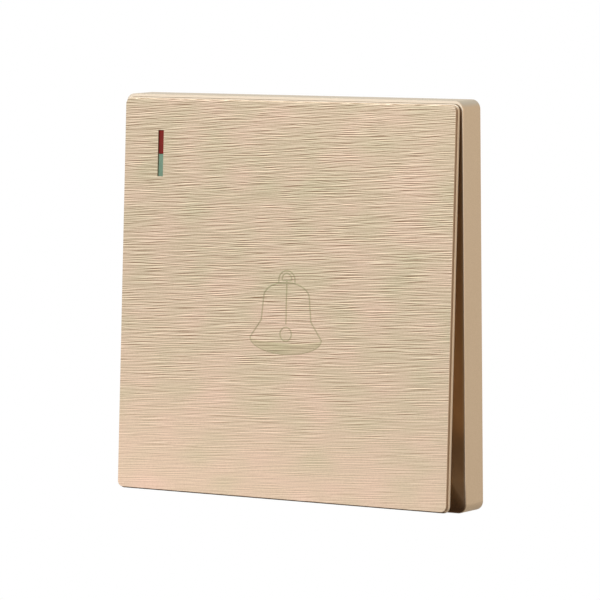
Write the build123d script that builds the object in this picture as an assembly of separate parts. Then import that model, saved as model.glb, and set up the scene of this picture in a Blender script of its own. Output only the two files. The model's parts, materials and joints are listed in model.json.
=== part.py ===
from build123d import *
from math import atan2, cos, degrees, radians, sin
import os

# Millimetres. X is right, Z is up and Y runs into the wall, so a depth d in front of the wall is y = -d.
# The origin is the centre of the two wall screws, on the wall plane.

# Frame round the key
PANEL = 86.0
FRAME_RISE = 7.1
FRAME_CORNER = 2.0
FRAME_WALL = 1.6
FRAME_WEB = 1.6
BACK_BEVEL = 0.4
RIM_BEVEL = 0.12
RIM_FLAT = 0.1
UPPER_RIM_FLAT = 0.5
DISH_WIDTH = 4.2
DISH_DEPTH = 1.7
WINDOW_MARGIN_X = 8.0
WINDOW_MARGIN_Z = 12.0
WINDOW_CORNER = 3.0
HOOK_X = 20.0
HOOK_WIDTH = 6.0
HOOK_THICK = 1.2
HOOK_CATCH = 0.7
HOOK_LENGTH = 3.0
HOOK_BARB = 1.2
HOOK_CLEARANCE = 0.3
GUSSET = 1.2
GUSSET_REACH = 2.4
GUSSET_PITCH = 26.0

# Folded steel mounting plate
SHEET = 1.2
PLATE_MARGIN = 2.85
PLATE_INSET_Z = 6.8
FOLD_RISE = 3.5
FOLD_HALF = 30.0
BEND_OUTER = 1.5
BEND_INNER = 0.4
SCREW_SPACING = 60.3
SLOT_RADIUS = 2.25
SLOT_LENGTH = 8.0
OPENING_X = 35.0
OPENING_Z = 36.0
OPENING_CORNER = 2.0
BEAD_LENGTH = 14.0
BEAD_WIDTH = 3.0
BEAD_RISE = 0.5
BEAD_INSET = 0.6
BEAD_TAPER = 30.0
BEAD_Z = 28.0

# Mechanism cover in front of the plate and housing behind it
COVER_X = 49.0
COVER_Z = 43.0
COVER_THICK = 2.0
COVER_CORNER = 2.0
HOUSING_X = 48.0
HOUSING_Z = 42.0
HOUSING_DEPTH = 22.0
HOUSING_CORNER = 2.0
HOUSING_EDGE = 0.8
PANEL_RECESS = 0.5
PANEL_MARGIN = 5.0
PANEL_CORNER = 1.5
PANEL_TOP = 1.0
BACK_WALL = 1.6
FIX_X = 21.0
FIX_Z = 18.0
FIX_RADIUS = 1.3
FIX_CLEARANCE = 0.2
FIX_BITE = 0.05
FIX_LENGTH = 10.0
FIX_HEAD_RADIUS = 2.3
FIX_HEAD = 1.6
FIX_TIP_ROOM = 1.0

# Key and its rocking pivot
KEY_INSET = 0.63
KEY_CORNER = 1.5
KEY_DROP = 0.27
KEY_EDGE = 0.55
KEY_THICK = 1.6
KEY_UNDERCUT = 4.0
KEY_BEVEL = 0.12
KEY_RIM_GAP = 0.15
REST_TILT = 3.5
PIVOT_BELOW_RIM = 1.1
PIN_RADIUS = 1.7
PIN_CLEARANCE = 0.05
EAR_X = 19.6
EAR_THICK = 2.4
EAR_WIDTH = 8.0
EAR_HEAD = 2.0
EAR_WALL = 1.0
SNAP_MOUTH = 2.8
ARM_GAP = 0.4
ARM_THICK = 1.8
ARM_WIDTH = 7.0
ARM_TAIL = 2.4
SKIRT_GAP = 1.5
SKIRT_WALL = 1.2
SKIRT_BELOW_PIVOT = 0.6
RIB_WALL = 1.0
RIB_RISE = 1.6
RIB_PITCH = 20.0

# Brushed sheet and coloured inserts on the key
SHEET_MARGIN = 0.28
FACE_SHEET = 0.7
FACE_EDGE = 0.05
MARK_FROM_LEFT = 9.77
MARK_FROM_TOP = 11.96
MARK_WIDTH = 1.45
MARK_LENGTH = 10.0
MARK_SHARE_RED = 5.15
MARK_CLEARANCE = 0.04
MARK_RECESS = 0.3
MARK_THICK = 1.0

# Plunger and contact bridge
PUSH_Z = -12.0
CAP_RADIUS = 4.0
CAP_CLEARANCE = 0.1
CAP_BELOW_PIVOT = 0.6
COLLAR_WALL = 1.5
COLLAR_RISE = 1.2
NOSE_RADIUS = 1.2
NOSE_WIDTH = 5.0
NOSE_CLEARANCE = 0.05
STOP_PAD = 0.8
STOP_MARGIN = 1.0
BLOCK = 9.2
BLOCK_CLEARANCE = 0.4
BLOCK_BEVEL = 0.8
BLOCK_LENGTH = 9.9
SHOULDER_GAP = 0.3
CAGE_WIDTH = 6.0
CAGE_HEIGHT = 5.8
CAGE_SILL = 1.6
BRIDGE_LENGTH = 23.0
BRIDGE_WIDTH = 5.6
BRIDGE_THICK = 0.6
BRIDGE_BEVEL = 1.0
TIP_X = 9.5
TIP_RADIUS = 1.6
TIP_THICK = 0.8
PRESS_ANGLE = 7.0
CONTACT_GAP_LEFT = 0.05
STRIP_THICK = 0.8
STRIP_WIDTH = 5.0
STRIP_END = 2.5
STRIP_TAIL = 3.5

# Springs
WIRE = 0.5
RETURN_RADIUS = 2.9
RETURN_TURNS = 4
CONTACT_RADIUS = 1.9
CONTACT_TURNS = 3
SPIGOT_RADIUS = 2.2
SPIGOT_LENGTH = 2.0

# Terminals
TERMINAL_X = 14.0
TERMINAL_Z = 9.0
TERMINAL_SIZE = 8.0
TERMINAL_LENGTH = 8.6
TERMINAL_CLEARANCE = 0.2
WIRE_RADIUS = 1.7
WIRE_DEPTH = 6.5
WIRE_MOUTH = 0.5
WIRE_FUNNEL = 1.0
CLAMP_RADIUS = 1.5
CLAMP_CLEARANCE = 0.05
CLAMP_FROM_BACK = 4.4
CLAMP_HEAD_RADIUS = 2.4
CLAMP_HEAD = 1.8
CLAMP_HEAD_LIFT = 3.2
CLAMP_ACCESS = 0.4
CLAMP_SLOT = 0.7
POCKET_WALL = 1.8
CORE_TOP = 17.0
TERMINAL_CHAMFER = 0.6

# Levels in front of the wall
LAND = FRAME_RISE - DISH_DEPTH
WEB_BACK = LAND - FRAME_WEB
COVER_FRONT = SHEET + COVER_THICK
PIVOT = FRAME_RISE - PIVOT_BELOW_RIM
TILT_SIN = sin(radians(REST_TILT))
TILT_COS = cos(radians(REST_TILT))
KEY = PANEL - 2 * KEY_INSET
UPPER_REACH = KEY / 2 - KEY_DROP
EDGE_BACK = PIVOT + (FRAME_RISE + KEY_RIM_GAP - PIVOT + UPPER_REACH * TILT_SIN) / TILT_COS
SHEET_SEAT = EDGE_BACK + KEY_EDGE
KEY_FACE = SHEET_SEAT + FACE_SHEET
KEY_BACK = SHEET_SEAT - KEY_THICK
CAP_TOP = PIVOT - CAP_BELOW_PIVOT
BLOCK_FRONT = SHEET - SHOULDER_GAP
BLOCK_BACK = BLOCK_FRONT - BLOCK_LENGTH
CAGE_BACK = BLOCK_BACK + CAGE_SILL
CAGE_FRONT = CAGE_BACK + CAGE_HEIGHT
BRIDGE_FRONT = CAGE_BACK + BRIDGE_THICK
PRESS_END = radians(PRESS_ANGLE - REST_TILT)
TRAVEL = -PUSH_Z * (TILT_SIN + sin(PRESS_END))
STRIP_FRONT = CAGE_BACK - TIP_THICK - TRAVEL - CONTACT_GAP_LEFT - TIP_THICK
STRIP_BACK = STRIP_FRONT - STRIP_THICK
HOUSING_FLOOR = BACK_WALL - HOUSING_DEPTH
TERMINAL_BACK = STRIP_BACK - TERMINAL_LENGTH
CLAMP_LEVEL = TERMINAL_BACK + CLAMP_FROM_BACK

# Places across the wall
PLATE_X = SCREW_SPACING / 2 + SLOT_LENGTH / 2 + PLATE_MARGIN
PLATE_Z = PANEL / 2 - PLATE_INSET_Z
WINDOW_X = PANEL - 2 * WINDOW_MARGIN_X
WINDOW_Z = PANEL - 2 * WINDOW_MARGIN_Z
EAR_OUT = EAR_X + EAR_THICK
ARM_X = EAR_OUT + ARM_GAP
SHEET_SIZE = KEY - 2 * SHEET_MARGIN
SHEET_CORNER = KEY_CORNER - SHEET_MARGIN
MARK_X = MARK_FROM_LEFT - KEY / 2
MARK_Z = KEY / 2 - MARK_FROM_TOP
STRIP_OUT = TERMINAL_X + STRIP_WIDTH / 2
STRIP_LOW = PUSH_Z - STRIP_WIDTH / 2
STRIP_HIGH = TERMINAL_Z + STRIP_TAIL
CHAMBER = BLOCK + 2 * BLOCK_CLEARANCE


def slab(width, height, back, front, x=0.0, z=0.0, corner=0.0):
    """A plate parallel to the wall between two depths, with rounded corners where a radius is given."""
    outline = RectangleRounded(width, height, corner) if corner else Rectangle(width, height)
    return extrude(Plane.XZ.offset(back) * Pos(x, z) * outline, front - back)


def post(radius, back, front, x=0.0, z=0.0):
    """A round post square to the wall between two depths."""
    return extrude(Plane.XZ.offset(back) * Pos(x, z) * Circle(radius), front - back)


def bar(radius, x0, x1, depth, z=0.0):
    """A round bar along X."""
    return extrude(Plane.YZ.offset(x0) * Pos(-depth, z) * Circle(radius), x1 - x0)


def prism(points, x0, x1):
    """A side profile of (depth, z) points carried along X."""
    side = make_face(Plane.YZ.offset(x0) * Polyline(*[(-d, z) for d, z in points], close=True))
    return extrude(side, x1 - x0)


def both_sides(piece):
    """A piece and its mirror image on the other side of the middle plane."""
    return piece + mirror(piece, Plane.YZ)


def above_and_below(piece):
    """A piece and its mirror image below the middle."""
    return piece + mirror(piece, Plane.XY)


def diagonal(piece):
    """A piece and its copy in the opposite corner."""
    return piece + piece.rotate(Axis.Y, 180)


def tilted(piece):
    """A key piece turned from level to its rest, with the lower edge standing out."""
    return piece.rotate(Axis((0, -PIVOT, 0), (1, 0, 0)), -REST_TILT)


def frame_hook():
    """A snap tongue behind the frame's land whose barb catches in a window of the plate's fold."""
    inner = PLATE_Z + HOOK_CLEARANCE
    end = WEB_BACK - HOOK_LENGTH
    catch = end + HOOK_BARB + HOOK_CATCH
    profile = [
        (WEB_BACK, inner),
        (catch, inner),
        (catch, PLATE_Z - HOOK_CATCH),
        (end, inner),
        (end, inner + HOOK_THICK),
        (WEB_BACK, inner + HOOK_THICK),
    ]
    return prism(profile, HOOK_X - HOOK_WIDTH / 2, HOOK_X + HOOK_WIDTH / 2)


def frame_gussets():
    """Triangular gussets between the frame's right wall and the back of its land."""
    wall = PANEL / 2 - FRAME_WALL
    profile = Polyline((wall, -WEB_BACK), (wall - GUSSET_REACH, -WEB_BACK), (wall, 0), close=True)
    gusset = extrude(make_face(Plane.XY.offset(-GUSSET / 2) * profile), GUSSET)
    return [Pos(0, 0, z) * gusset for z in (-GUSSET_PITCH, 0, GUSSET_PITCH)]


def outer_frame():
    """The square frame: thin rim with a wider upper side, dished front, open window and snap hooks."""
    body = slab(PANEL, PANEL, 0, FRAME_RISE, corner=FRAME_CORNER)
    body = chamfer(body.faces().sort_by(Axis.Y)[-1].edges(), BACK_BEVEL)
    body = chamfer(body.faces().sort_by(Axis.Y)[0].edges(), RIM_BEVEL)
    wide = PANEL - 2 * (RIM_BEVEL + RIM_FLAT)
    high = wide + RIM_FLAT - UPPER_RIM_FLAT
    lowered = Pos(0, (RIM_FLAT - UPPER_RIM_FLAT) / 2)
    corner = FRAME_CORNER - RIM_BEVEL - RIM_FLAT
    fall = 2 * DISH_WIDTH
    dish = loft(
        [
            Plane.XZ.offset(LAND) * lowered * RectangleRounded(wide - fall, high - fall, corner),
            Plane.XZ.offset(FRAME_RISE) * lowered * RectangleRounded(wide, high, corner),
        ],
        ruled=True,
    )
    room = PANEL - 2 * FRAME_WALL
    body -= dish
    body -= slab(WINDOW_X, WINDOW_Z, 0, FRAME_RISE, corner=WINDOW_CORNER)
    body -= slab(room, room, 0, WEB_BACK, corner=FRAME_CORNER / 2)
    body += above_and_below(both_sides(frame_hook()))
    for quarter in range(4):
        body += [gusset.rotate(Axis.Y, 90 * quarter) for gusset in frame_gussets()]
    return body


def mounting_plate():
    """The folded steel plate: two slots for the wall screws, an opening for the mechanism, snap windows."""
    body = slab(2 * PLATE_X, 2 * PLATE_Z, 0, FOLD_RISE)
    body -= slab(2 * PLATE_X, 2 * (PLATE_Z - SHEET), SHEET, FOLD_RISE)
    bends = body.edges().filter_by(Axis.X)
    outer = bends.filter_by_position(Axis.Y, -0.01, 0.01)
    body = fillet(outer, BEND_OUTER)
    inner = body.edges().filter_by(Axis.X).filter_by_position(Axis.Y, -SHEET - 0.01, -SHEET + 0.01)
    body = fillet(inner, BEND_INNER)
    trim = PLATE_X - FOLD_HALF
    fold_root = PLATE_Z - SHEET - BEND_INNER
    corner = slab(trim, PLATE_Z - fold_root, 0, FOLD_RISE, FOLD_HALF + trim / 2, (PLATE_Z + fold_root) / 2)
    body -= above_and_below(both_sides(corner))
    body -= slab(OPENING_X, OPENING_Z, 0, SHEET, corner=OPENING_CORNER)
    slot = Plane.XZ * Pos(SCREW_SPACING / 2, 0) * SlotOverall(SLOT_LENGTH, 2 * SLOT_RADIUS)
    body -= both_sides(extrude(slot, SHEET))
    body -= diagonal(post(FIX_RADIUS + FIX_CLEARANCE, 0, SHEET, -FIX_X, FIX_Z))
    catch = slab(HOOK_WIDTH + 2 * HOOK_CLEARANCE, 2 * SHEET, SHEET, FOLD_RISE - SHEET / 2, HOOK_X, PLATE_Z)
    body -= above_and_below(both_sides(catch))
    place = Pos(SCREW_SPACING / 2 - SLOT_RADIUS, BEAD_Z)
    outline = Plane.XZ.offset(SHEET) * place * Rectangle(BEAD_LENGTH, BEAD_WIDTH)
    ridge = extrude(outline, BEAD_RISE, taper=BEAD_TAPER)
    outline = Plane.XZ * place * Rectangle(BEAD_LENGTH - BEAD_INSET, BEAD_WIDTH - BEAD_INSET)
    dent = extrude(outline, BEAD_RISE, taper=BEAD_TAPER)
    return body + above_and_below(both_sides(ridge)) - above_and_below(both_sides(dent))


def terminal_pocket():
    """Room for one terminal, its strip, its wire and the screwdriver that turns its clamp screw."""
    size = TERMINAL_SIZE + 2 * TERMINAL_CLEARANCE
    room = slab(size, size, TERMINAL_BACK, STRIP_BACK, TERMINAL_X, TERMINAL_Z)
    top = TERMINAL_Z + size / 2
    room += slab(size, top - PUSH_Z, STRIP_BACK, 0, TERMINAL_X, (top + PUSH_Z) / 2)
    mouth = WIRE_RADIUS + WIRE_MOUTH
    wall = HOUSING_DEPTH + TERMINAL_BACK
    funnel = Plane.XZ.offset(-HOUSING_DEPTH) * Pos(TERMINAL_X, TERMINAL_Z) * Circle(mouth + WIRE_FUNNEL)
    room += extrude(funnel, wall, taper=degrees(atan2(WIRE_FUNNEL, wall)))
    access = Plane.XY.offset(TERMINAL_Z) * Pos(TERMINAL_X, -CLAMP_LEVEL)
    room += extrude(access * Circle(CLAMP_HEAD_RADIUS + CLAMP_ACCESS), HOUSING_Z / 2 - TERMINAL_Z)
    return room


def rear_housing():
    """The moulded housing behind the plate, with pockets for the contacts, springs and terminals."""
    body = slab(HOUSING_X, HOUSING_Z, -HOUSING_DEPTH, 0, corner=HOUSING_CORNER)
    body = chamfer(body.faces().sort_by(Axis.Y)[-1].edges(), HOUSING_EDGE)
    reach = TERMINAL_X + TERMINAL_SIZE / 2 + TERMINAL_CLEARANCE
    body -= slab(2 * reach, CHAMBER, STRIP_BACK, 0, z=PUSH_Z)
    body -= slab(CHAMBER, CHAMBER, HOUSING_FLOOR, STRIP_BACK, z=PUSH_Z)
    body -= both_sides(terminal_pocket())
    core_half = TERMINAL_X - TERMINAL_SIZE / 2 - TERMINAL_CLEARANCE - POCKET_WALL
    core_low = PUSH_Z + CHAMBER / 2 + POCKET_WALL
    core_z = (CORE_TOP + core_low) / 2
    body -= slab(2 * core_half, CORE_TOP - core_low, HOUSING_FLOOR, 0, z=core_z)
    hole = post(FIX_RADIUS + FIX_BITE, COVER_FRONT - FIX_LENGTH - FIX_TIP_ROOM, 0, -FIX_X, FIX_Z)
    body -= diagonal(hole)
    panel_low = PANEL_MARGIN - HOUSING_Z / 2
    panel_x = HOUSING_X - 2 * PANEL_MARGIN
    panel_z = (PANEL_TOP + panel_low) / 2
    floor = PANEL_RECESS - HOUSING_DEPTH
    body -= slab(panel_x, PANEL_TOP - panel_low, -HOUSING_DEPTH, floor, z=panel_z, corner=PANEL_CORNER)
    return body + post(SPIGOT_RADIUS, HOUSING_FLOOR, HOUSING_FLOOR + SPIGOT_LENGTH, z=PUSH_Z)


def bearing_ear():
    """An upright ear with a snap-in bearing for the key's pin."""
    foot = EAR_WIDTH / 2
    head = PIN_RADIUS + PIN_CLEARANCE + EAR_WALL
    profile = [
        (COVER_FRONT, -foot),
        (PIVOT + EAR_HEAD, -head),
        (PIVOT + EAR_HEAD, head),
        (COVER_FRONT, foot),
    ]
    ear = prism(profile, EAR_X, EAR_OUT)
    ear -= bar(PIN_RADIUS + PIN_CLEARANCE, EAR_X, EAR_OUT, PIVOT)
    mouth = [
        (PIVOT, -SNAP_MOUTH / 2),
        (PIVOT + EAR_HEAD, -SNAP_MOUTH / 2),
        (PIVOT + EAR_HEAD, SNAP_MOUTH / 2),
        (PIVOT, SNAP_MOUTH / 2),
    ]
    return ear - prism(mouth, EAR_X, EAR_OUT)


def mechanism_cover():
    """The front cover that clamps the plate to the housing, guides the plunger and carries the key."""
    body = slab(COVER_X, COVER_Z, SHEET, COVER_FRONT, corner=COVER_CORNER)
    collar = CAP_RADIUS + CAP_CLEARANCE + COLLAR_WALL
    body += post(collar, COVER_FRONT, COVER_FRONT + COLLAR_RISE, z=PUSH_Z)
    body -= post(CAP_RADIUS + CAP_CLEARANCE, SHEET, COVER_FRONT + COLLAR_RISE, z=PUSH_Z)
    pad_x = NOSE_WIDTH + 2 * STOP_MARGIN
    pad_z = 2 * (NOSE_RADIUS + STOP_MARGIN)
    body += slab(pad_x, pad_z, COVER_FRONT, COVER_FRONT + STOP_PAD, z=-PUSH_Z)
    body += both_sides(bearing_ear())
    return body - diagonal(post(FIX_RADIUS + FIX_CLEARANCE, SHEET, COVER_FRONT, -FIX_X, FIX_Z))


def housing_screw(x, z):
    """A cheese-head screw that holds the cover, the plate and the housing together."""
    head = post(FIX_HEAD_RADIUS, COVER_FRONT, COVER_FRONT + FIX_HEAD, x, z)
    return head + post(FIX_RADIUS, COVER_FRONT - FIX_LENGTH, COVER_FRONT, x, z)


def terminal(side):
    """A brass pillar with a bore for the wire from behind and a tapped hole for the clamp screw."""
    x = side * TERMINAL_X
    block = slab(TERMINAL_SIZE, TERMINAL_SIZE, TERMINAL_BACK, STRIP_BACK, x, TERMINAL_Z)
    block = chamfer(block.edges().filter_by(Axis.Y), TERMINAL_CHAMFER)
    block -= post(WIRE_RADIUS, TERMINAL_BACK, TERMINAL_BACK + WIRE_DEPTH, x, TERMINAL_Z)
    tapped = Plane.XY.offset(TERMINAL_Z) * Pos(x, -CLAMP_LEVEL) * Circle(CLAMP_RADIUS + CLAMP_CLEARANCE)
    return block - extrude(tapped, TERMINAL_SIZE)


def clamp_screw(side):
    """The slotted screw that presses the wire, backed out so that the bore is free."""
    place = Pos(side * TERMINAL_X, -CLAMP_LEVEL)
    tip = TERMINAL_Z + WIRE_RADIUS + CLAMP_CLEARANCE
    head_low = TERMINAL_Z + TERMINAL_SIZE / 2 + CLAMP_HEAD_LIFT
    screw = extrude(Plane.XY.offset(tip) * place * Circle(CLAMP_RADIUS), head_low - tip)
    screw += extrude(Plane.XY.offset(head_low) * place * Circle(CLAMP_HEAD_RADIUS), CLAMP_HEAD)
    top = head_low + CLAMP_HEAD / 2
    slot = Plane.XY.offset(top) * place * Rectangle(CLAMP_SLOT, 2 * CLAMP_HEAD_RADIUS)
    return screw - extrude(slot, CLAMP_HEAD)


def fixed_contact(side):
    """The brass strip from a terminal down to a place behind the bridge's end."""
    leg = slab(STRIP_WIDTH, STRIP_HIGH - STRIP_LOW, STRIP_BACK, STRIP_FRONT, side * TERMINAL_X,
               (STRIP_HIGH + STRIP_LOW) / 2)
    inner = TIP_X - STRIP_END
    middle = side * (STRIP_OUT + inner) / 2
    foot = slab(STRIP_OUT - inner, STRIP_WIDTH, STRIP_BACK, STRIP_FRONT, middle, PUSH_Z)
    return leg + foot


def fixed_tip(side):
    """A silver contact on a fixed strip."""
    return post(TIP_RADIUS, STRIP_FRONT, STRIP_FRONT + TIP_THICK, side * TIP_X, PUSH_Z)


def bridge_tip(side):
    """A silver contact on the bridge."""
    return post(TIP_RADIUS, CAGE_BACK - TIP_THICK, CAGE_BACK, side * TIP_X, PUSH_Z)


def contact_bridge():
    """The bronze bar that joins the two fixed contacts when the key is pressed."""
    bridge = slab(BRIDGE_LENGTH, BRIDGE_WIDTH, CAGE_BACK, BRIDGE_FRONT, z=PUSH_Z)
    return chamfer(bridge.edges().filter_by(Axis.Y), BRIDGE_BEVEL)


def plunger():
    """The sliding plunger: round cap for the key's nose, square block with a cage for the bridge."""
    cap = post(CAP_RADIUS, BLOCK_FRONT, CAP_TOP, z=PUSH_Z)
    block = slab(BLOCK, BLOCK, BLOCK_BACK, BLOCK_FRONT, z=PUSH_Z)
    block = chamfer(block.edges().filter_by(Axis.Y), BLOCK_BEVEL)
    block -= slab(BLOCK, CAGE_WIDTH, CAGE_BACK, CAGE_FRONT, z=PUSH_Z)
    return cap + block + post(SPIGOT_RADIUS, BLOCK_BACK - SPIGOT_LENGTH, BLOCK_BACK, z=PUSH_Z)


def coil(radius, turns, back, front):
    """A compression spring between two seats, square to the wall, on the plunger's centre."""
    height = front - back - WIRE
    path = Helix(height / turns, height, radius, center=(0, -back - WIRE / 2, PUSH_Z), direction=(0, -1, 0))
    section = Plane(origin=path @ 0, z_dir=path % 0) * RegularPolygon(WIRE / 2, 4)
    return sweep(section, path, is_frenet=True)


def pressing_rib(z, seat):
    """A rib behind the key whose round end rests, at the key's rest, just clear of a seat."""
    level = PIVOT + (seat + NOSE_CLEARANCE + NOSE_RADIUS - PIVOT + z * TILT_SIN) / TILT_COS
    half = NOSE_WIDTH / 2
    web = slab(NOSE_WIDTH, 2 * NOSE_RADIUS, level, KEY_BACK, z=z)
    return web + bar(NOSE_RADIUS, -half, half, level, z)


def pivot_arm():
    """An arm behind the key with the pin that snaps into the cover's ear."""
    half = ARM_WIDTH / 2
    end = PIVOT - ARM_TAIL
    tail = half / 2
    profile = [(KEY_BACK, -half), (PIVOT, -half), (end, -tail), (end, tail), (PIVOT, half), (KEY_BACK, half)]
    arm = prism(profile, ARM_X, ARM_X + ARM_THICK)
    return arm + bar(PIN_RADIUS, EAR_X + PIN_CLEARANCE, ARM_X, PIVOT)


def key_ribs():
    """The skirt that drops into the frame's window and the ribs that stiffen the key inside it."""
    out_x = WINDOW_X - 2 * SKIRT_GAP
    out_z = WINDOW_Z - 2 * SKIRT_GAP
    in_x = out_x - 2 * SKIRT_WALL
    in_z = out_z - 2 * SKIRT_WALL
    level = PIVOT - SKIRT_BELOW_PIVOT
    skirt = slab(out_x, out_z, level, KEY_BACK, corner=WINDOW_CORNER)
    skirt -= slab(in_x, in_z, level, KEY_BACK, corner=WINDOW_CORNER - SKIRT_WALL)
    ribs = [slab(in_x, RIB_WALL, KEY_BACK - RIB_RISE, KEY_BACK, z=z) for z in (-RIB_PITCH, RIB_PITCH)]
    ribs += [slab(RIB_WALL, in_z, KEY_BACK - RIB_RISE, KEY_BACK, x) for x in (-RIB_PITCH / 2, RIB_PITCH / 2)]
    return skirt + ribs


def push_key():
    """The moulded key: square plate with a bevelled edge, pivot arms, pressing ribs and skirt."""
    under = KEY - 2 * KEY_UNDERCUT
    lower = loft(
        [
            Plane.XZ.offset(KEY_BACK) * Pos(0, -KEY_DROP) * RectangleRounded(under, under, KEY_CORNER),
            Plane.XZ.offset(EDGE_BACK) * Pos(0, -KEY_DROP) * RectangleRounded(KEY, KEY, KEY_CORNER),
        ],
        ruled=True,
    )
    upper = slab(KEY, KEY, EDGE_BACK, SHEET_SEAT, z=-KEY_DROP, corner=KEY_CORNER)
    body = lower + chamfer(upper.faces().sort_by(Axis.Y)[0].edges(), KEY_BEVEL)
    mark_seat = KEY_FACE - MARK_RECESS - MARK_THICK
    body -= slab(MARK_WIDTH, MARK_LENGTH, mark_seat, SHEET_SEAT, MARK_X, MARK_Z - KEY_DROP)
    body += pressing_rib(PUSH_Z, CAP_TOP)
    body += pressing_rib(-PUSH_Z, COVER_FRONT + STOP_PAD)
    body += both_sides(pivot_arm())
    return tilted(body + key_ribs())


def face_sheet():
    """The thin brushed sheet on the key, with a slot for the coloured inserts."""
    sheet = slab(SHEET_SIZE, SHEET_SIZE, SHEET_SEAT, KEY_FACE, z=-KEY_DROP, corner=SHEET_CORNER)
    sheet = chamfer(sheet.faces().sort_by(Axis.Y)[0].edges(), FACE_EDGE)
    return tilted(sheet - slab(MARK_WIDTH, MARK_LENGTH, SHEET_SEAT, KEY_FACE, MARK_X, MARK_Z - KEY_DROP))


def mark(low, high):
    """A coloured insert set back in the sheet's slot, between two heights along the slot."""
    front = KEY_FACE - MARK_RECESS
    width = MARK_WIDTH - 2 * MARK_CLEARANCE
    height = high - low - 2 * MARK_CLEARANCE
    return tilted(slab(width, height, front - MARK_THICK, front, MARK_X, (low + high) / 2 - KEY_DROP))


mark_low = MARK_Z - MARK_LENGTH / 2
mark_high = MARK_Z + MARK_LENGTH / 2
nodes = {
    "outer_frame": outer_frame(),
    "mounting_plate": mounting_plate(),
    "mechanism_cover": mechanism_cover(),
    "rear_housing": rear_housing(),
    "push_key": push_key(),
    "face_sheet": face_sheet(),
    "red_insert": mark(mark_high - MARK_SHARE_RED, mark_high),
    "green_insert": mark(mark_low, mark_high - MARK_SHARE_RED),
    "plunger": plunger(),
    "contact_bridge": contact_bridge(),
    "contact_spring": coil(CONTACT_RADIUS, CONTACT_TURNS, BRIDGE_FRONT, CAGE_FRONT),
    "return_spring": coil(RETURN_RADIUS, RETURN_TURNS, HOUSING_FLOOR, BLOCK_BACK),
    "housing_screw_upper": housing_screw(-FIX_X, FIX_Z),
    "housing_screw_lower": housing_screw(FIX_X, -FIX_Z),
}
for name, side in (("left", -1), ("right", 1)):
    nodes["terminal_" + name] = terminal(side)
    nodes["clamp_screw_" + name] = clamp_screw(side)
    nodes["fixed_contact_" + name] = fixed_contact(side)
    nodes["fixed_tip_" + name] = fixed_tip(side)
    nodes["bridge_tip_" + name] = bridge_tip(side)

os.makedirs("parts", exist_ok=True)
for name, piece in nodes.items():
    export_step(piece, f"parts/{name}.step")
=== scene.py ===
# %% [markdown]
# # A doorbell push with a rocking key
# The real object is a square wall plate: a champagne frame, a tilted key with a brushed metal face, and
# behind them a steel plate and a moulded housing with the contacts. The solids already have the true shapes
# and places, so this lesson only dresses them. It gives every solid its finish, adds the fine pieces that are
# too small for solid modelling, and sets the light and the camera. All lengths in Blender are metres, in the
# solids' own frame: X is right, Z is up and Y runs into the wall.

# %% Load the solids
import json
import bpy
import numpy as np
from mathutils import Matrix, Vector


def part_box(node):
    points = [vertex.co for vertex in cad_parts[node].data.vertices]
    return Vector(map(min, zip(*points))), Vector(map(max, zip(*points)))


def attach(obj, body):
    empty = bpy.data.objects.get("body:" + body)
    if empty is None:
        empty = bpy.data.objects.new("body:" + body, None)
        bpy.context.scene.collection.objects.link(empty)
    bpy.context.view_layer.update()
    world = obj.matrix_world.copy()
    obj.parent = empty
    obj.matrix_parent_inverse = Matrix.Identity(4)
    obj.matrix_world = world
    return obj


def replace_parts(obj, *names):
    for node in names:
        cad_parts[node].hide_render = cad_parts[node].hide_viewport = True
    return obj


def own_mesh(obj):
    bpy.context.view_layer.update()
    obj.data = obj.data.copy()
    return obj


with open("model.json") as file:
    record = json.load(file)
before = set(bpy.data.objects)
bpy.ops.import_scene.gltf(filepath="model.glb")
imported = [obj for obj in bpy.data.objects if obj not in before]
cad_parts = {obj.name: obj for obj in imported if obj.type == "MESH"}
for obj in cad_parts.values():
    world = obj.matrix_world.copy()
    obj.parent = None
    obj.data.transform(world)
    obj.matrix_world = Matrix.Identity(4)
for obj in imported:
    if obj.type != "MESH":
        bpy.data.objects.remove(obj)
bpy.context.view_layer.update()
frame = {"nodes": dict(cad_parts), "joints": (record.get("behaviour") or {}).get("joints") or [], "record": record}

MM = 0.001

# %% [markdown]
# ## Small helpers for colours and shader nodes
# Colours are read off as screen values from 0 to 255, while Blender's sockets take linear light, so one
# function converts them. A shader tree is mostly "add a node, set its values, link its inputs", so a second
# function does that in one call, which keeps the finishes below short enough to read. Two more functions make
# the nodes that come up most: arithmetic, and a ramp from one range of values to another.

# %% Colour and node helpers
def screen(red, green, blue):
    """Linear colour of a screen colour: c / 12.92 for dark values, else ((c + 0.055) / 1.055) ** 2.4."""
    c = np.array([red, green, blue]) / 255.0
    linear = np.where(c <= 0.04045, c / 12.92, ((c + 0.055) / 1.055) ** 2.4)
    return (*linear.tolist(), 1.0)


def put(tree, kind, feeds=None, **settings):
    """Adds one node, sets its properties, then links sockets or writes constants into its inputs."""
    made = tree.nodes.new(kind)
    for name, value in settings.items():
        setattr(made, name, value)
    for name, value in (feeds or {}).items():
        if isinstance(value, bpy.types.NodeSocket):
            tree.links.new(value, made.inputs[name])
        else:
            made.inputs[name].default_value = value
    return made


def calc(tree, operation, first, second):
    """One arithmetic step on two numbers or sockets."""
    return put(tree, "ShaderNodeMath", {0: first, 1: second}, operation=operation).outputs[0]


def ramp(tree, value, first, last, low=0.0, high=1.0):
    """low + (high - low) * (value - first) / (last - first), held between low and high."""
    feeds = {"Value": value, "From Min": first, "From Max": last, "To Min": low, "To Max": high}
    return put(tree, "ShaderNodeMapRange", feeds).outputs[0]


print("mid grey", np.round(screen(128, 128, 128)[:3], 3).tolist())

# %% [markdown]
# ## Shared effects as node groups
# Several finishes share an effect: brushing shows on the face, the rolled steel and the drawn wire, moulded
# grain on every plastic and faintly on the face, and slow mottling on nearly everything. Each effect is one
# node group with named inputs, so a material only chooses its sizes. The groups read Object coordinates, so a
# pattern stays fixed to the piece.

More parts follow.
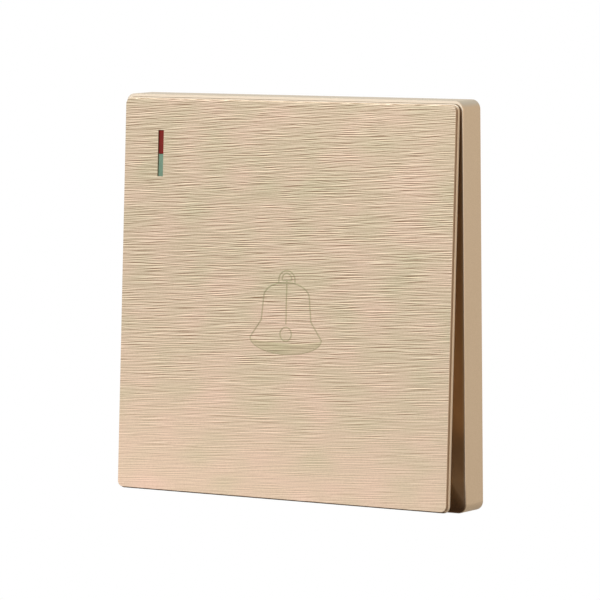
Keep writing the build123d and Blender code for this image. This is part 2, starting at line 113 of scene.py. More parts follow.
# %% Helpers for node groups
NOISE_RANGE = 0.3, 0.7


def effect(name, inputs, outputs):
    """A new shader group with float inputs (name: default) and outputs: its tree and both sets of sockets."""
    tree = bpy.data.node_groups.new(name, "ShaderNodeTree")
    for socket, default in inputs.items():
        made = tree.interface.new_socket(name=socket, in_out="INPUT", socket_type="NodeSocketFloat")
        made.default_value = default
    for socket in outputs:
        tree.interface.new_socket(name=socket, in_out="OUTPUT", socket_type="NodeSocketFloat")
    return tree, tree.nodes.new("NodeGroupInput").outputs, tree.nodes.new("NodeGroupOutput").inputs


def object_place(tree, turn=None):
    """Three sockets: the point's own coordinates in millimetres, turned about Y where an angle is given."""
    place = put(tree, "ShaderNodeTexCoord").outputs["Object"]
    place = put(tree, "ShaderNodeVectorMath", {0: place, "Scale": 1 / MM}, operation="SCALE").outputs[0]
    if turn is not None:
        turned = put(tree, "ShaderNodeVectorRotate", {"Vector": place, "Angle": turn}, rotation_type="Y_AXIS")
        place = turned.outputs[0]
    return put(tree, "ShaderNodeSeparateXYZ", {0: place}).outputs


def cloud(tree, x, y, z, detail):
    """Smooth noise at a point in units of its spots: 0 to 1, and mostly within NOISE_RANGE."""
    point = put(tree, "ShaderNodeCombineXYZ", {0: x, 1: y, 2: z}).outputs[0]
    return put(tree, "ShaderNodeTexNoise", {"Vector": point, "Scale": 1.0, "Detail": detail}).outputs["Fac"]


print("effect helpers ready")

# %% [markdown]
# ### Brushed streaks
# A brushed sheet is scratched in one direction. Each scratch is a long thin groove, and where a finish takes
# this pattern as colour, one wall of it is painted shade and the other painted light. Stretched noise gives
# long thin ridges, and its slope across them is dark on one side of each ridge, bright on the other and even
# in between: it is the noise a little above the point minus the noise a little below it. A coarse and a finer
# layer, which cross at about one degree, keep the lines from looking ruled. The lines bend a little, and the
# brush presses harder in some bundles of them than in others.

# %% The streak group
BEND, BUNDLE, DRIFT = (9.0, 4.0), (9.0, 1.6), (13.0, 7.0)
GROOVE_STEP, STEEPEST = 0.3, 0.46
WEAKEST, STRONGEST = 0.5, 1.5
tree, given, result = effect("drawn_streaks", {"Length": 11.0, "Width": 0.35, "Wave": 0.2, "Turn": 0.0},
                             ["Streak", "Drift"])
x, _, z = object_place(tree, given["Turn"])


def spots(size, layer, detail):
    """Noise at (x / length, layer, z / width): its spots have a length and a width in millimetres."""
    length, width = size
    return cloud(tree, calc(tree, "DIVIDE", x, length), layer, calc(tree, "DIVIDE", z, width), detail)


bend = calc(tree, "SUBTRACT", spots(BEND, layer=0.0, detail=0.0), 0.5)
bent = calc(tree, "ADD", z, calc(tree, "MULTIPLY", bend, given["Wave"]))
across = calc(tree, "DIVIDE", bent, given["Width"])
along = calc(tree, "DIVIDE", x, given["Length"])


def grooves(finer, slope, layer):
    """Slope of noise n across the lines: n(u, v + step) - n(u, v - step), in lengths u and widths v."""
    climb = calc(tree, "DIVIDE", calc(tree, "MULTIPLY", x, slope), given["Width"])
    u = calc(tree, "MULTIPLY", along, finer)
    v = calc(tree, "MULTIPLY", calc(tree, "ADD", across, climb), finer)
    sides = [calc(tree, "ADD", v, step) for step in (GROOVE_STEP, -GROOVE_STEP)]
    above, below = (cloud(tree, u, layer, side, detail=0.0) for side in sides)
    return calc(tree, "SUBTRACT", above, below)


coarse, fine = grooves(finer=1.0, slope=0.0, layer=3.0), grooves(finer=1.4, slope=-0.02, layer=9.0)
force = ramp(tree, spots(BUNDLE, layer=7.0, detail=1.0), *NOISE_RANGE, WEAKEST, STRONGEST)
steep = calc(tree, "MULTIPLY", calc(tree, "ADD", coarse, fine), force)
tree.links.new(ramp(tree, steep, -STEEPEST, STEEPEST), result["Streak"])
tree.links.new(ramp(tree, spots(DRIFT, layer=5.0, detail=1.0), *NOISE_RANGE), result["Drift"])
print("group", tree.name, "nodes", len(tree.nodes))

# %% [markdown]
# ### Moulded grain and handled mottle
# Moulds are spark-eroded, so moulded plastic has a very fine even grain, and paint on it shows a trace of the
# same. Surfaces that are handled, plated or stored also vary slowly over centimetres. Both are plain noise in
# all three directions, at two very different sizes.

# %% The grain and mottle groups
def even_noise(name, size, detail):
    """Makes a group whose one output is noise with spots of a given size in millimetres."""
    tree, given, result = effect(name, {"Size": size}, ["Value"])
    point = [calc(tree, "DIVIDE", axis, given["Size"]) for axis in object_place(tree)]
    tree.links.new(ramp(tree, cloud(tree, *point, detail), *NOISE_RANGE), result["Value"])


even_noise("moulded_grain", size=0.25, detail=1.0)
even_noise("handled_mottle", size=9.0, detail=3.0)
print("groups", sorted(group.name for group in bpy.data.node_groups))

# %% [markdown]
# ## Finishes
# A finish is one Principled BSDF. What is the same all over a piece, such as how metallic it is, is set on
# the shader itself. What changes over the surface comes from the groups: they blend two colours, move the
# roughness a little and lift a bump.

# %% Helpers for finishes
FINISHES = {}
MIX_SHARE, MIX_FIRST, MIX_SECOND, MIX_COLOUR = 0, 6, 7, 2


def start(name, **constants):
    """A new material with its shader, whose constant sockets are set by name."""
    material = bpy.data.materials.new(name)
    material.use_nodes = True
    shader = material.node_tree.nodes["Principled BSDF"]
    for socket, value in constants.items():
        shader.inputs[socket.replace("_", " ")].default_value = value
    FINISHES[name] = material
    return material.node_tree, shader


def use(tree, group, **inputs):
    """Places one of the shared groups in a material with its own values."""
    placed = put(tree, "ShaderNodeGroup", node_tree=bpy.data.node_groups[group])
    for socket, value in inputs.items():
        placed.inputs[socket].default_value = value
    return placed.outputs


def blend(tree, share, first, second, mode="MIX"):
    """Colour between two colours by a share from 0 to 1, or the first times the second."""
    feeds = {MIX_SHARE: share, MIX_FIRST: first, MIX_SECOND: second}
    return put(tree, "ShaderNodeMix", feeds, data_type="RGBA", blend_type=mode).outputs[MIX_COLOUR]


def colour_with(tree, shader, colour):
    """Gives the shader a colour that changes over the surface."""
    tree.links.new(colour, shader.inputs["Base Color"])


def roughen(tree, shader, share, rough):
    """Lets the roughness run between two values with a share from 0 to 1."""
    tree.links.new(ramp(tree, share, 0.0, 1.0, *rough), shader.inputs["Roughness"])


def relief(tree, shader, height, depth, strength):
    """A bump of a given depth in millimetres."""
    feeds = {"Height": height, "Distance": depth * MM, "Strength": strength}
    tree.links.new(put(tree, "ShaderNodeBump", feeds).outputs[0], shader.inputs["Normal"])


print("finish helpers ready")

# %% [markdown]
# ### Which way a surface faces
# Dust makes what faces up rougher, painted light gives tops a colour of their own, and a sheet's cut edge
# looks different from its front. The direction in which a point's surface faces tells them apart: its part
# along an axis runs from -1 to 1, and the front is at -1 along Y.

# %% Fronts and tops
AXIS_Y, AXIS_Z = 1, 2


def facing(tree, axis, first, last):
    """0 to 1 as the part of a surface's own normal along an axis runs from a first value to a last one."""
    normal = put(tree, "ShaderNodeTexCoord").outputs["Normal"]
    return ramp(tree, put(tree, "ShaderNodeSeparateXYZ", {0: normal}).outputs[axis], first, last)


def front_share(tree):
    """1 where a surface faces the front, 0 on its edges and sides."""
    return facing(tree, AXIS_Y, first=-0.3, last=-0.8)


def top_share(tree):
    """1 where a surface faces up, 0 elsewhere."""
    return facing(tree, AXIS_Z, first=0.3, last=0.7)


print("facing helpers ready")

# %% [markdown]
# ### The brushed face and the sign on it
# The face is a thin champagne sheet, brushed from side to side in strokes about a fifth of a millimetre
# thick, with a trace of very fine grain. The strokes fade evenly from the middle down to the lower edge, and
# a painted highlight makes the lower part of the metal a little lighter and pinker, most at the left. The
# sheet is cut from a larger one, and its cut edge has painted light and shade: brown at the sides and paler
# on top. The bell is a shallow mark through the same brushing, only greyer.

# %% Brushed finishes
STROKE = {"Length": 10.0, "Width": 0.22, "Wave": 0.12, "Turn": np.radians(3.3)}
FADE_FROM, FADE_TO, FULL_CONTRAST, FADED_CONTRAST = -4.0, -38.0, 1.2, 0.34
# Painted highlight, lighter and pinker towards the lower left: its slant and levels here, its tints two lines
# down.
HIGHLIGHT_SLANT, HIGHLIGHT_FROM, HIGHLIGHT_TO = 0.22, 15.0, -50.0
GRAIN_SIZE, GRAIN_SHARE, MIDDLE_SHARE = 0.28, 0.07, 0.465
PLAIN_TINT, PAINTED_HIGHLIGHT_TINT = (0.98, 0.985, 1.0, 1.0), (1.3, 1.235, 1.29, 1.0)
PINK_PATCH, GREEN_PATCH = (1.06, 1.0, 1.025, 1.0), (0.92, 0.965, 0.915, 1.0)
# Painted light and shade on the sheet's cut edge: brown where it faces sideways, paler where it faces up.
SHADED_CUT_EDGE, LIT_CUT_EDGE = screen(160, 132, 104), screen(188, 181, 170)


def brushed(name, dark, light, metallic, rough):
    """A brushed sheet between two colours, whose strokes fade downwards, with a painted pinker highlight low on
    the left.
    """
    tree, shader = start(name, Metallic=metallic)
    strokes = use(tree, "drawn_streaks", **STROKE)
    grain = calc(tree, "MULTIPLY", use(tree, "moulded_grain", Size=GRAIN_SIZE)["Value"], GRAIN_SHARE)
    x, _, z = object_place(tree)
    contrast = ramp(tree, z, FADE_FROM, FADE_TO, FULL_CONTRAST, FADED_CONTRAST)
    share = calc(tree, "MULTIPLY", calc(tree, "SUBTRACT", strokes["Streak"], 0.5), contrast)
    share = calc(tree, "ADD", calc(tree, "ADD", share, grain), MIDDLE_SHARE)
    # Painted highlight: a lighter, pinker tint that grows downwards and to the left.
    highlight_share = ramp(tree, calc(tree, "ADD", z, calc(tree, "MULTIPLY", x, HIGHLIGHT_SLANT)), HIGHLIGHT_FROM, HIGHLIGHT_TO)
    highlight_tint = blend(tree, calc(tree, "MULTIPLY", highlight_share, highlight_share), PLAIN_TINT, PAINTED_HIGHLIGHT_TINT)
    patch = blend(tree, strokes["Drift"], PINK_PATCH, GREEN_PATCH)
    # Painted light and shade: the strokes' walls run between the dark colour and the light one.
    colour = blend(tree, share, dark, light)
    for factor in (highlight_tint, patch):
        colour = blend(tree, 1.0, colour, factor, "MULTIPLY")
    # Painted light and shade on the cut edge: paler where it faces up, brown at the sides.
    edge = blend(tree, top_share(tree), SHADED_CUT_EDGE, LIT_CUT_EDGE)
    colour_with(tree, shader, blend(tree, front_share(tree), edge, colour))
    roughen(tree, shader, strokes["Streak"], rough)
    relief(tree, shader, strokes["Streak"], depth=0.01, strength=0.5)


brushed("brushed_face", screen(124, 94, 65), screen(255, 236, 207), metallic=0.8, rough=(0.45, 0.32))
brushed("bell_fill", screen(112, 94, 66), screen(234, 220, 184), metallic=0.75, rough=(0.48, 0.34))
brushed("bell_line", screen(118, 104, 76), screen(214, 201, 165), metallic=0.65, rough=(0.52, 0.38))
print("finishes", list(FINISHES))

# %% [markdown]
# ### Champagne paint
# The frame and the key's plate are plastic with a satin metallic paint. It is half metal and half binder, so
# it shines softly in its own colour, and fine flakes make it glitter slightly. Grain noise stands for the
# flakes. Dust on what faces up makes it rougher, and the colour there is painted light: greyer on the frame's
# tops and a painted highlight on the upper edge of the key's plate. The rest of that plate, under the sheet,
# is only slightly darker. Painted shade makes the frame's dish behind the key browner and the plate's margin
# below the sheet dark. A painted highlight lightens the frame's thin rim, and painted shade darkens what faces
# the front low on the frame. These are bands along one axis, on surfaces that face the front. Their levels in
# millimetres start from the frame's front or foot, or from the sheet's foot.

# %% Paint
FLAKE_SIZE, PATCH_SIZE = 0.12, 14.0
DUST_WEIGHT, PAINT_ROUGH = 3.5, (0.36, 0.72)


def painted(name, dark, light, top, specular, light_bands):
    """Metallic paint of two close colours, with painted light on tops and in bands (axis, from, to, colour) on
    fronts.
    """
    tree, shader = start(name, Metallic=0.5, Specular_IOR_Level=specular)
    flakes = use(tree, "moulded_grain", Size=FLAKE_SIZE)["Value"]
    patches = use(tree, "handled_mottle", Size=PATCH_SIZE)["Value"]
    place, front, upward = object_place(tree), front_share(tree), top_share(tree)
    # Painted light on tops: the share that faces up blends in the top colour.
    colour = blend(tree, upward, blend(tree, flakes, dark, light), top)
    # Bands of painted light and shade on what faces the front.
    for axis, first, last, tone in light_bands:
        share = calc(tree, "MULTIPLY", ramp(tree, place[axis], first, last), front)
        colour = blend(tree, share, colour, tone)
    colour_with(tree, shader, colour)
    share = calc(tree, "ADD", patches, calc(tree, "MULTIPLY", upward, DUST_WEIGHT))
    roughen(tree, shader, calc(tree, "DIVIDE", share, 1 + DUST_WEIGHT), PAINT_ROUGH)
    relief(tree, shader, flakes, depth=0.002, strength=0.4)


FRAME_FRONT, FRAME_FOOT = (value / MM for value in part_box("outer_frame")[0].yz)
SHEET_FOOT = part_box("face_sheet")[0].z / MM
# Painted shade: a browner colour in the frame's dish behind the key.
dish_shade_band = AXIS_Y, FRAME_FRONT + 0.05, FRAME_FRONT + 0.3, screen(184, 142, 95)
# Painted highlight: a lighter colour on the frame's thin front rim.
rim_highlight_band = AXIS_Y, FRAME_FRONT + 0.03, FRAME_FRONT, screen(236, 221, 201)
# Painted shade: a darker colour on what faces the front low on the frame.
low_shade_band = AXIS_Z, FRAME_FOOT + 7.0, FRAME_FOOT + 1.0, screen(96, 68, 42)
# Painted shade: a dark colour on the key plate's margin just below the sheet.
edge_shade_band = AXIS_Z, SHEET_FOOT + 0.034, SHEET_FOOT - 0.016, screen(72, 54, 36)
# Painted top colours: greyer on the frame's tops, a painted highlight on the key plate's upper edge.
painted_top_light, painted_top_highlight = screen(188, 176, 157), screen(232, 221, 203)
painted("champagne_paint", screen(186, 159, 127), screen(198, 171, 138),
        top=painted_top_light, specular=0.3, light_bands=[dish_shade_band, rim_highlight_band, low_shade_band])
painted("plate_paint", screen(182, 157, 128), screen(194, 168, 138),
        top=painted_top_highlight, specular=0.2, light_bands=[edge_shade_band])
print("finishes", list(FINISHES))

# %% [markdown]
# ### Coloured inserts and mouldings
# The two inserts are small blocks of coloured plastic. The housing, its cover and the plunger are plain
# moulded plastic, pale and matt. They all get the moulded grain in the bump and the mottle in the colour.

# %% Plastics
MOTTLE_TO_GRAIN = 30


def moulded(name, dark, light, rough, grain, depth, **constants):
    """Moulded plastic: mottled colour and roughness over a fine grain."""
    tree, shader = start(name, **constants)
    mottle = use(tree, "handled_mottle", Size=grain * MOTTLE_TO_GRAIN)["Value"]
    colour_with(tree, shader, blend(tree, mottle, dark, light))
    roughen(tree, shader, mottle, rough)
    relief(tree, shader, use(tree, "moulded_grain", Size=grain)["Value"], depth, strength=0.6)


for name, dark, light in (("red_insert", screen(116, 14, 5), screen(138, 24, 10)),
                          ("green_insert", screen(116, 147, 126), screen(134, 165, 142))):
    moulded(name, dark, light, rough=(0.42, 0.52), grain=0.06, depth=0.002, Specular_IOR_Level=0.3)
moulded("pale_moulding", screen(222, 220, 213), screen(232, 230, 224),
        rough=(0.5, 0.62), grain=0.3, depth=0.02)
moulded("acetal", screen(236, 235, 228), screen(242, 241, 236), rough=(0.35, 0.45), grain=0.2, depth=0.008)
print("finishes", list(FINISHES))

# %% [markdown]
# ### Metals inside
# The mounting plate is rolled steel under bright zinc, which keeps the rolling lines. The strips and pillars
# are brass, the bridge is bronze, the contact tips are silver and the springs are drawn wire. They differ in
# colour and in how fine the drawn lines are, so one function makes them all.

# %% Metals
LINE_WAVE, DULL_SIZE = 0.05, 5.0


def drawn(name, dark, light, rough, length, width, turn=0.0):
    """Rolled or drawn metal: lines along one direction and slow patches of duller metal."""
    tree, shader = start(name, Metallic=1.0)
    lines = use(tree, "drawn_streaks", Length=length, Width=width, Wave=LINE_WAVE, Turn=turn)
    patches = use(tree, "handled_mottle", Size=DULL_SIZE)["Value"]
    colour_with(tree, shader, blend(tree, patches, dark, light))
    share = calc(tree, "MULTIPLY", calc(tree, "ADD", lines["Streak"], patches), 0.5)
    roughen(tree, shader, share, rough)
    relief(tree, shader, lines["Streak"], depth=0.004, strength=0.4)


drawn("zinc_steel", screen(182, 184, 187), screen(206, 208, 210),
      rough=(0.28, 0.5), length=14.0, width=0.3, turn=np.pi / 2)
drawn("brass", screen(200, 164, 92), screen(222, 190, 118), rough=(0.2, 0.4), length=5.0, width=0.12)
drawn("bronze", screen(186, 132, 90), screen(208, 156, 112), rough=(0.22, 0.4), length=5.0, width=0.12)
drawn("silver", screen(214, 213, 208), screen(232, 231, 227), rough=(0.18, 0.34), length=2.0, width=0.1)
drawn("spring_steel", screen(150, 151, 154), screen(178, 179, 182), rough=(0.25, 0.4), length=3.0, width=0.1)
print("finishes", len(FINISHES))

# %% [markdown]
# ## Dress the solids
# The record names a finish for every solid, so one loop puts the new materials on. Only the key's plate takes
# a coat of its own. The solids' meshes stay as they are.

# %% Put the finishes on
for entry in frame["record"]["subparts"]:
    piece = frame["nodes"][entry["node"]]
    piece.data.materials.clear()
    finish = "plate_paint" if entry["node"] == "push_key" else entry["material_slot"]
    piece.data.materials.append(FINISHES[finish])

# %% [markdown]
# ## Surfaces from grids
# Every added piece is made of grids of points, such as rows along a path and columns round a section. One
# function turns such grids into a mesh: it joins neighbours with four-sided faces and closes a grid where its
# ends meet.

# %% A mesh from grids
def into_scene(name, data):
    """A new object of the scene that shows a mesh, a lamp or a camera."""
    made = bpy.data.objects.new(name, data)
    bpy.context.scene.collection.objects.link(made)
    return made


def grid_faces(rows, columns, ring_rows, ring_columns, first=0):
    """Faces of a grid: each joins point (i, j) with its neighbours (i, j+1), (i+1, j+1) and (i+1, j)."""
    i = np.arange(rows if ring_rows else rows - 1)[:, None]
    j = np.arange(columns if ring_columns else columns - 1)[None, :]
    row, next_row = i * columns, (i + 1) % rows * columns
    next_j = (j + 1) % columns
    quads = np.broadcast_arrays(row + j, row + next_j, next_row + next_j, next_row + j)
    return np.stack(quads, -1).reshape(-1, 4) + first


def surface(name, grids, finish):
    """One smooth mesh object from grids (points, ring_rows, ring_columns) of rows x columns x 3 points."""
    firsts = np.cumsum([0] + [points.shape[0] * points.shape[1] for points, _, _ in grids])
    faces = [grid_faces(*points.shape[:2], rows, columns, first)
             for (points, rows, columns), first in zip(grids, firsts)]
    places = np.concatenate([points.reshape(-1, 3) for points, _, _ in grids])
    mesh = bpy.data.meshes.new(name)
    mesh.from_pydata(places, [], np.concatenate(faces))
    mesh.polygons.foreach_set("use_smooth", np.ones(len(mesh.polygons), bool))
    mesh.materials.append(FINISHES[finish])
    return into_scene(name, mesh)


print("grid of 3 by 4 as a closed tube has", len(grid_faces(3, 4, False, True)), "faces")

# %% [markdown]
# ## The bell on the face
# The sign is a line drawing of a bell: a closed outline, a hanging loop, a centre line and a round clapper,
# with the lip filled in. On the real face it is a shallow mark a fraction of a millimetre wide. Curves with a
# bevel would do, but a section carried along a path with numpy keeps the mark as flat as the real one. First
# come the axes of the tilted face, measured from the sheet itself.

# %% The face's own axes
EDGE_BAND = 0.5 * MM
joints = {joint["name"]: joint for joint in frame["joints"]}
pivot = np.array(joints["key_rock"]["pos_m"])
sheet = frame["nodes"]["face_sheet"].data
corners = np.array([vertex.co for vertex in sheet.vertices]) - pivot
depth, height = corners[:, 1], corners[:, 2]
upper = depth[height > height.max() - EDGE_BAND].min()
lower = depth[height < height.min() + EDGE_BAND].min()
TILT = np.arctan2(upper - lower, np.ptp(height))
RIGHT = np.array([1.0, 0.0, 0.0])
OUT = np.array([0.0, -np.cos(TILT), np.sin(TILT)])
UP = np.array([0.0, np.sin(TILT), np.cos(TILT)])
FACE = (corners @ OUT).max()
print("tilt", round(float(np.degrees(TILT)), 2), "degrees, face", round(float(FACE / MM), 2), "mm from pivot")

# %% [markdown]
# ### Lines of the bell
# The dome is a slightly squared half ellipse, (x / a)^2 + (y / b)^2.18 = 1. The sides run down almost
# straight, then flare to the lip, and the lip hangs in an elliptical arc. The loop is two arches, and the
# clapper is a circle. Each is a few formulas in millimetres.

# %% Paths in the face
BELL_X, BELL_UP = 1.04, 0.26
DOME_HALF, DOME_HEIGHT, DOME_POWER = 5.85, 3.4, 2.18
SIDE_OUT, SIDE_DROP, FLARE_OUT, FLARE_DROP = 0.5, 4.7, 2.75, 3.8
LIP_HALF, LIP_LEVEL = DOME_HALF + SIDE_OUT + FLARE_OUT, -SIDE_DROP - FLARE_DROP
LIP_SAG, FILL_SAG = 3.3, 0.9
CLAPPER_RADIUS, CLAPPER_LEVEL = 1.45, -7.55
STEM_TOP, STEM_FOOT = 4.2, -5.6
ARC_POINTS, SIDE_POINTS, SILL_POINTS, STEM_POINTS = 60, 24, 20, 40
half_turn = np.linspace(0, np.pi, ARC_POINTS)
whole_turn = 2 * half_turn[:-1]


def hanging(sag):
    """Arcs of the lip without their ends, one for each sag: x = -half cos(t), y = level - sag sin(t)."""
    inner = half_turn[1:-1, None]
    arcs = np.broadcast_arrays(-LIP_HALF * np.cos(inner), LIP_LEVEL - sag * np.sin(inner))
    return np.stack(arcs, -1)


def arch(half, top, foot):
    """A closed arch: a half circle of a given half width on straight legs down to its foot, and back."""
    bow = np.stack([half * np.cos(half_turn), top - half + half * np.sin(half_turn)], -1)
    sill = np.stack([np.linspace(-half, half, SILL_POINTS), np.full(SILL_POINTS, foot)], -1)
    return np.concatenate([bow, sill])


bulge = np.abs(np.sin(half_turn)) ** (2 / DOME_POWER)
dome = np.stack([DOME_HALF * np.cos(half_turn), DOME_HEIGHT * bulge], -1)
fall = np.linspace(0, 1, SIDE_POINTS)[1:, None]
wall = [DOME_HALF, 0] + fall * [SIDE_OUT, -SIDE_DROP]
flare = [DOME_HALF + SIDE_OUT, -SIDE_DROP] + fall * [FLARE_OUT, -FLARE_DROP]
side = np.concatenate([wall, flare])
outline = np.concatenate([side[::-1], dome, side * [-1, 1], hanging(LIP_SAG)[:, 0]])
clapper = [0, CLAPPER_LEVEL] + CLAPPER_RADIUS * np.stack([np.cos(whole_turn), np.sin(whole_turn)], -1)
stem = np.stack([np.zeros(STEM_POINTS), np.linspace(STEM_TOP, STEM_FOOT, STEM_POINTS)], -1)
loops = [arch(half=2.06, top=5.93, foot=3.25), arch(half=1.2, top=5.35, foot=3.85)]
print("outline points", len(outline), "width", np.ptp(outline[:, 0]).round(1), "mm")

# %% [markdown]
# ### Carry a flat section along the lines
# At each point of a path, one direction lies in the face across the line and the other stands out of it. The
# section is a low flat ring: most of it is let into the sheet, and its top stands only 0.015 mm proud. The
# filled lip is a sheet of its own, whose edges dive into the face.

# %% The bell sign
LINE_WIDTH, LINE_PROUD, LINE_SUNK, RING_POINTS = 0.32, 0.015, 0.03, 10
FILL_COLUMNS, EDGE_POWER = 13, 6


def on_face(flat, lift):
    """Point in the solids' frame for face coordinates in mm: pivot + x RIGHT + s UP + (FACE + lift) OUT."""
    x, s = (flat[..., 0] + BELL_X) * MM, (flat[..., 1] + BELL_UP) * MM
    out = FACE + lift * MM
    return pivot + x[..., None] * RIGHT + s[..., None] * UP + out[..., None] * OUT


def line(path, closed):
    """A flat ring carried along a path: path + normal * a at height b, for (a, b) round the section."""
    ahead = np.roll(path, -1, 0) - np.roll(path, 1, 0) if closed else np.gradient(path, axis=0)
    normal = np.stack([-ahead[:, 1], ahead[:, 0]], -1) / np.linalg.norm(ahead, axis=1)[:, None]
    around = np.linspace(0, 2 * np.pi, RING_POINTS, endpoint=False)
    a = LINE_WIDTH / 2 * np.cos(around)
    b = np.where(np.sin(around) > 0, LINE_PROUD, LINE_SUNK) * np.sin(around)
    share = np.ones((len(path), 1))
    if not closed:
        share[[0, -1]] = 0
    flat = path[:, None] + normal[:, None] * (a * share)[..., None]
    return on_face(flat, b * share - LINE_SUNK * (1 - share)), closed, True


edge = np.linspace(-1, 1, FILL_COLUMNS)[None] ** EDGE_POWER
lift = LINE_PROUD / 2 * (1 - edge) - LINE_SUNK * edge
fill = on_face(hanging(np.linspace(FILL_SAG, LIP_SAG, FILL_COLUMNS)), lift), False, False
strokes = [line(path, True) for path in (outline, *loops, clapper)] + [line(stem, False)]
for bell in (surface("bell_lines", strokes, "bell_line"), surface("bell_lip", [fill], "bell_fill")):
    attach(bell, "key")
    print(bell.name, "faces", len(bell.data.polygons))

# %% [markdown]
# ## Springs of round wire
# The solids have plain springs. The real ones are drawn round wire, so a circle is carried along the same
# helix and both ends are rounded off. The return spring stands on the housing's floor, and the contact
# spring travels with the plunger.

# %% The two springs
TURN_POINTS, WIRE_POINTS, END_ROWS = 72, 14, 2


def spring(name, node, wire, turns, body):
    """A circle carried along a helix about Y: x = R sin(a), z = zc - R cos(a), and y falls evenly with a."""
    low, high = (np.array(corner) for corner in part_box(node))
    middle, radius = (low[2] + high[2]) / 2, (high[2] - low[2]) / 2 - wire / 2
    angle = np.linspace(0, 2 * np.pi * turns, TURN_POINTS * turns)[:, None]
    away = np.concatenate([np.sin(angle), 0 * angle, -np.cos(angle)], 1)
    deep = (high[1] - wire / 2) - (high[1] - low[1] - wire) * angle / angle.max()
    path = away * radius + np.concatenate([0 * angle, deep, np.full_like(angle, middle)], 1)
    ahead = np.gradient(path, axis=0)
    side = np.cross(away, ahead / np.linalg.norm(ahead, axis=1)[:, None])
    row = np.arange(len(path))
    round_ends = np.sqrt(np.clip(np.minimum(row, row[::-1]) / END_ROWS, 0, 1))
    around = np.linspace(0, 2 * np.pi, WIRE_POINTS, endpoint=False)[None, :, None]
    section = np.cos(around) * away[:, None] + np.sin(around) * side[:, None]
    points = path[:, None] + wire / 2 * round_ends[:, None, None] * section
    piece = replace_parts(surface(name, [(points, False, True)], "spring_steel"), node)
    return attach(piece, body), low, high


spring("contact_coil", "contact_spring", wire=0.5 * MM, turns=3, body="plunger")
coil, low, high = spring("return_coil", "return_spring", wire=0.5 * MM, turns=4, body="base")
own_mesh(coil)

# %% [markdown]
# ## Screws with a cross and a thread
# The two housing screws are plain posts in the solids. A real one has a cross in its domed head and a thread
# on its shank. Both are one surface: the height of the head and the radius of the shank depend on the angle.

# %% The housing screws
COVER_FLANGE, SHANK, PITCH = 2.0 * MM, 1.3 * MM, 0.9 * MM
THREAD_DEPTH, TIP_LENGTH = 0.22 * MM, 0.8 * MM
ARM_HALF, ARM_WALL, ARM_REACH, ARM_END = 0.42 * MM, 0.1 * MM, 1.45 * MM, 0.25 * MM
HEAD_EDGE, HEAD_POWER, CROSS_DEPTH, UNDER_HEAD = 0.62, 4, 0.75, [[1.0], [0.6]]
AROUND, HEAD_RINGS, SHANK_RINGS, RING_POWER = 64, 40, 120, 0.8


def head_rings(around, head, reach):
    """Radius and height of the head from its middle to its underside: a dome that sinks by a cross."""
    share = np.linspace(0, 1, HEAD_RINGS)[:, None] ** RING_POWER
    along = np.abs(np.stack([np.cos(around), np.sin(around)])) * share * reach
    arm = np.clip((ARM_HALF - along.min(0)) / ARM_WALL, 0, 1)
    arm = arm * np.clip((ARM_REACH - along.max(0)) / ARM_END, 0, 1)
    dome = head * (HEAD_EDGE + (1 - HEAD_EDGE) * np.sqrt(np.clip(1 - share ** HEAD_POWER, 0, 1)))
    top = np.stack([share * reach + 0 * around, dome - arm * CROSS_DEPTH * head], -1)
    rims = np.array(UNDER_HEAD) * reach + 0 * around
    return np.concatenate([top, np.stack([rims, 0 * rims], -1)])


def shank_rings(around, length):
    """Radius and height of the shank: (SHANK - THREAD_DEPTH * groove) * taper, one groove for each PITCH."""
    depth = np.linspace(0, length, SHANK_RINGS)[:, None]
    groove = np.abs((depth / PITCH + around / (2 * np.pi)) % 1 - 0.5) * 2
    taper = np.sqrt(np.clip((length - depth) / TIP_LENGTH, 0, 1))
    return np.stack([(SHANK - THREAD_DEPTH * groove) * taper, -depth + 0 * around], -1)


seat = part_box("mechanism_cover")[1][1] - COVER_FLANGE
around = np.linspace(0, 2 * np.pi, AROUND, endpoint=False)[None]
for name in ("upper", "lower"):
    node = "housing_screw_" + name
    low, high = (np.array(corner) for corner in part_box(node))
    rings = [head_rings(around, seat - low[1], (high[0] - low[0]) / 2), shank_rings(around, high[1] - seat)]
    radius, out = np.moveaxis(np.concatenate(rings), -1, 0)
    middle = (low + high) / 2
    x, z = middle[0] + radius * np.cos(around), middle[2] + radius * np.sin(around)
    points = np.stack([x, seat - out, z], -1)
    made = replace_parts(surface(name + "_screw", [(points, False, True)], "zinc_steel"), node)
    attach(made, "base")
    print(made.name, "faces", len(made.data.polygons))

# %% [markdown]
# ## Floor, world and lamps
# The object floats before plain white, lit softly from the front. The world is white where the camera or a
# reflection sees it, and dimmer as a light, so that colours keep their written level. A pale floor well below
# catches a soft shadow in the other views.

# %% Floor
FLOOR_RADIUS, FLOOR_LEVEL, FLOOR_SPOTS = 0.9, -0.25, 60.0
FLOOR_RINGS, FLOOR_AROUND = 8, 96


def floor_disc(radius, level):
    """A disc: rings of points at x = r cos(a), y = r sin(a), all at one level."""
    angle = np.linspace(0, 2 * np.pi, FLOOR_AROUND, endpoint=False)[None]
    ring = np.linspace(0, radius, FLOOR_RINGS)[:, None]
    return np.stack([ring * np.cos(angle), ring * np.sin(angle), level + 0 * ring * angle], -1), False, True


tree, shader = start("pale_floor", Roughness=0.8)
speckle = use(tree, "handled_mottle", Size=FLOOR_SPOTS)["Value"]
colour_with(tree, shader, blend(tree, speckle, screen(196, 196, 194), screen(204, 204, 202)))
floor = surface("floor", [floor_disc(FLOOR_RADIUS, FLOOR_LEVEL)], "pale_floor")
print("floor", round(floor.dimensions.x, 2), "m wide")

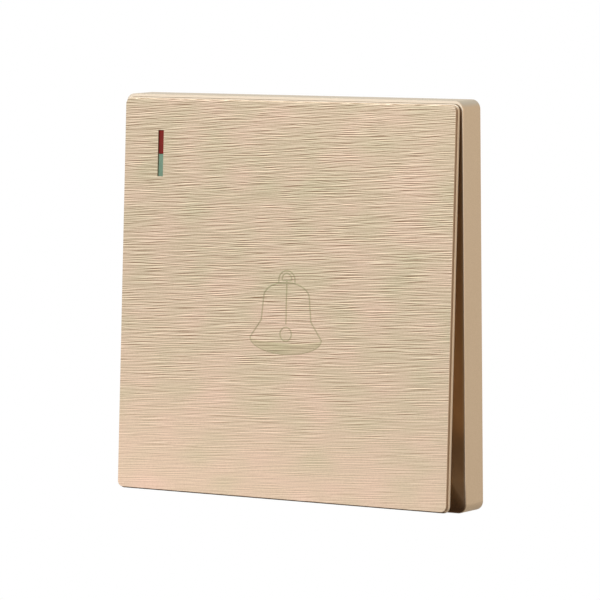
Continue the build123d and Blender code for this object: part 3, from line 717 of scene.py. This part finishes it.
# %% World
WHITE, SEEN_LEVEL, LIGHT_LEVEL = (1, 1, 1, 1), 1.0, 0.3
world = bpy.data.worlds.new("studio")
bpy.context.scene.world = world
world.use_nodes = True
tree = world.node_tree
path = put(tree, "ShaderNodeLightPath").outputs
mirrored = calc(tree, "MAXIMUM", path["Is Glossy Ray"], path["Is Transmission Ray"])
seen = calc(tree, "MAXIMUM", path["Is Camera Ray"], mirrored)
soft, white = (put(tree, "ShaderNodeBackground", {"Color": WHITE, "Strength": level}).outputs[0]
               for level in (LIGHT_LEVEL, SEEN_LEVEL))
joined = put(tree, "ShaderNodeMixShader", {0: seen, 1: soft, 2: white})
tree.links.new(joined.outputs[0], tree.nodes["World Output"].inputs["Surface"])
print("world ready")

# %% Lamps
def soft_box(name, place, size, watts):
    """A square area lamp that faces the middle of the object."""
    lamp = bpy.data.lights.new(name, "AREA")
    lamp.size, lamp.energy = size, watts
    aim = Vector(place).to_track_quat("Z", "Y").to_matrix().to_4x4()
    into_scene(name, lamp).matrix_world = Matrix.Translation(place) @ aim


soft_box("front", place=(-0.35, -1.3, 0.95), size=0.8, watts=13.6)
soft_box("top_left", place=(-0.7, -0.1, 1.05), size=0.6, watts=6.5)
soft_box("right_fill", place=(1.3, -0.12, 0.2), size=0.6, watts=8.6)

# %% [markdown]
# ## Camera
# The view is from the right and slightly above, with a long lens, so that the square looks almost without
# perspective. The camera's axes come from its two angles and a small roll.

# %% Camera
TURN, RISE, ROLL = np.radians([34.126, 5.34, -0.598])
AIM, DISTANCE = np.array([-3.0, 0.0, -0.854]) * MM, 991.56 * MM
SENSOR_WIDTH, FOCAL_LENGTH = 36.0, 277.94
back = np.array([np.sin(TURN) * np.cos(RISE), -np.cos(TURN) * np.cos(RISE), np.sin(RISE)])
right = np.array([np.cos(TURN), np.sin(TURN), 0.0])
up = np.cross(back, right)
rolled_right = np.cos(ROLL) * right + np.sin(ROLL) * up
rolled_up = np.cos(ROLL) * up - np.sin(ROLL) * right
axes = np.stack([rolled_right, rolled_up, back], 1)
place = AIM + DISTANCE * back
lens = bpy.data.cameras.new("camera")
lens.sensor_width, lens.lens = SENSOR_WIDTH, FOCAL_LENGTH
camera = into_scene("camera", lens)
camera.matrix_world = Matrix.Translation(Vector(place)) @ Matrix(axes.tolist()).to_4x4()
bpy.context.scene.camera = camera
bpy.context.scene.view_settings.view_transform = "Standard"
print("camera", np.round(place, 3).tolist())
